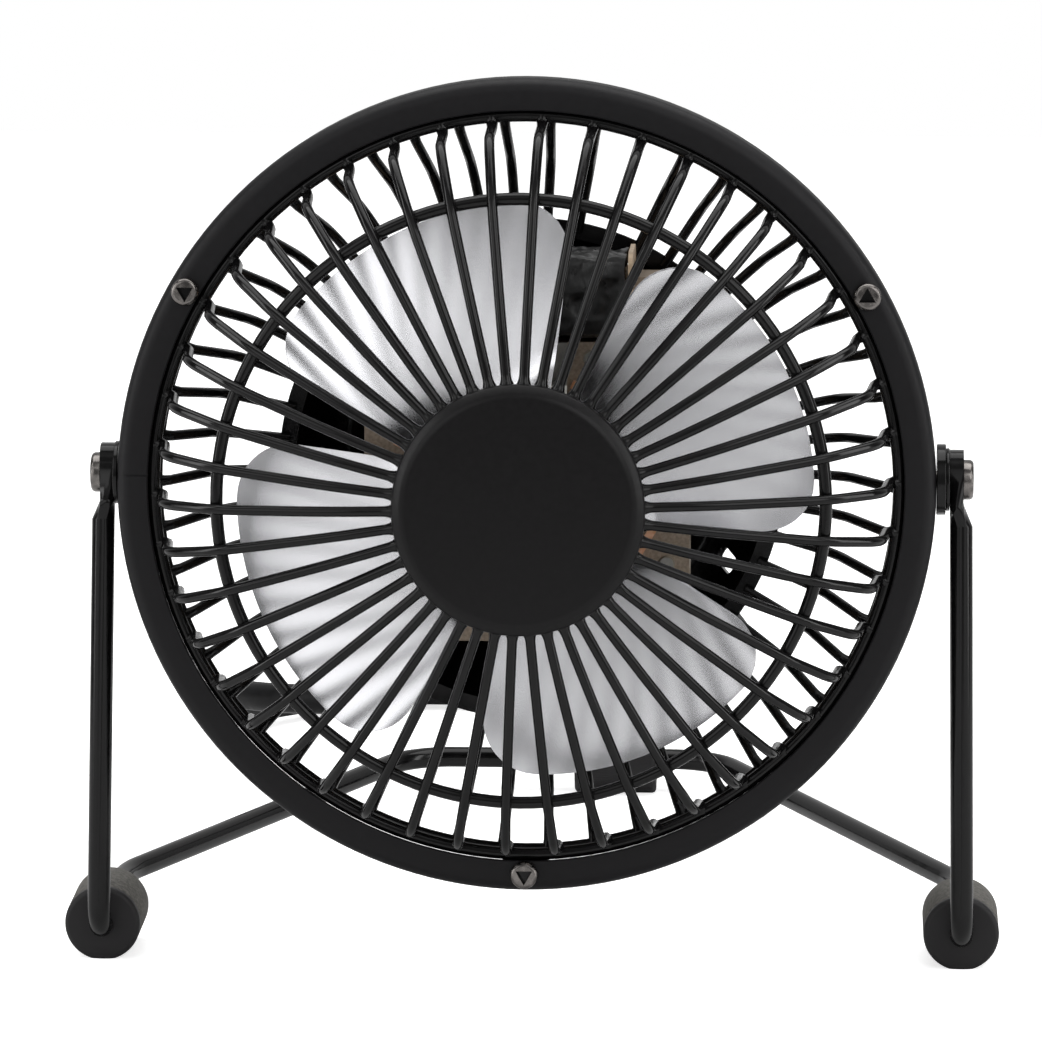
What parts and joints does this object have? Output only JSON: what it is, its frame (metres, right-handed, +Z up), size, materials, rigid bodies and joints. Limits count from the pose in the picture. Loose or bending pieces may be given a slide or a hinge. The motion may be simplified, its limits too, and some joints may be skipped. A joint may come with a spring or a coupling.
{
  "type": "desk fan",
  "caption": "Small metal desk fan: round wire guard with a plain hub disc, bright twisted blades and an open motor, tilting on a bent-rod stand with rubber feet.",
  "frame": {"origin": "on the table, under the middle of the fan's box without its cord", "axes": "+Z up, the fan blows towards -Y, +X to the right of someone facing the fan"},
  "size_m": [0.1656, 0.3722, 0.1579],
  "materials": {
    "black_steel": "satin",
    "dark_nickel": "polished",
    "zinc_steel": "satin",
    "ground_steel": "ground",
    "lamination_steel": "raw",
    "sintered_bronze": "satin",
    "copper": "satin",
    "coil_tape": "matte",
    "bobbin_plastic": "matte",
    "bright_aluminium": "brushed",
    "foot_rubber": "matte",
    "black_plastic": "matte",
    "switch_plastic": "gloss",
    "cord_rubber": "satin",
    "tie_plastic": "matte",
    "pin_brass": "plated"
  },
  "bodies": {
    "stand": {"stand_rod": "black_steel", "left_foot": "foot_rubber", "right_foot": "foot_rubber", "rear_foot": "foot_rubber", "cord_lead": "cord_rubber", "cord_coil": "cord_rubber", "cord_tie": "tie_plastic", "mains_plug": "black_plastic", "plug_pins": "pin_brass"},
    "rotor": {"motor_shaft": "ground_steel", "rotor_core": "ground_steel", "blade_hub": "bright_aluminium", "fan_blades": "bright_aluminium"},
    "rocker": {"switch_rocker": "switch_plastic"},
    "head": {"coil_bobbin": "bobbin_plastic", "cord_gland": "black_plastic", "field_coil": "coil_tape", "front_bearing": "sintered_bronze", "front_bearing_bracket": "zinc_steel", "front_centre_ring": "black_steel", "front_grille_wires": "black_steel", "front_mid_ring": "black_steel", "front_rim_ring": "black_steel", "hub_badge": "black_steel", "lamination_rivets": "zinc_steel", "left_pivot_washer": "black_steel", "motor_nuts": "zinc_steel", "motor_screws": "zinc_steel", "motor_standoffs": "zinc_steel", "pivot_nuts": "zinc_steel", "pivot_screws": "dark_nickel", "rear_bearing": "sintered_bronze", "rear_bearing_bracket": "zinc_steel", "rear_grille_wires": "black_steel", "rear_housing": "black_steel", "rear_rim_ring": "black_steel", "right_pivot_spacer": "black_steel", "right_pivot_washer": "black_steel", "rim_band": "black_steel", "rim_clips": "black_steel", "rim_screws": "dark_nickel", "shading_rings": "copper", "stator_core": "lamination_steel", "switch_body": "black_plastic"}
  },
  "joints": [
    {"name": "head_tilt", "type": "hinge", "parent": "stand", "child": "head", "pos_m": [0, -0.0512, 0.0875], "axis": [-1, 0, 0], "range_deg": [-22.5, 42.5], "deforming": ["cord_lead"]},
    {"name": "fan_spin", "type": "hinge", "parent": "head", "child": "rotor", "pos_m": [-0.00072, -0.05875, 0.08653], "axis": [0, 0.999, -0.0436], "continuous": true},
    {"name": "switch_rock", "type": "hinge", "parent": "head", "child": "rocker", "pos_m": [-0.00072, -0.00974, 0.0948], "axis": [-1, 0, 0], "range_deg": [0, 18]}
  ]
}
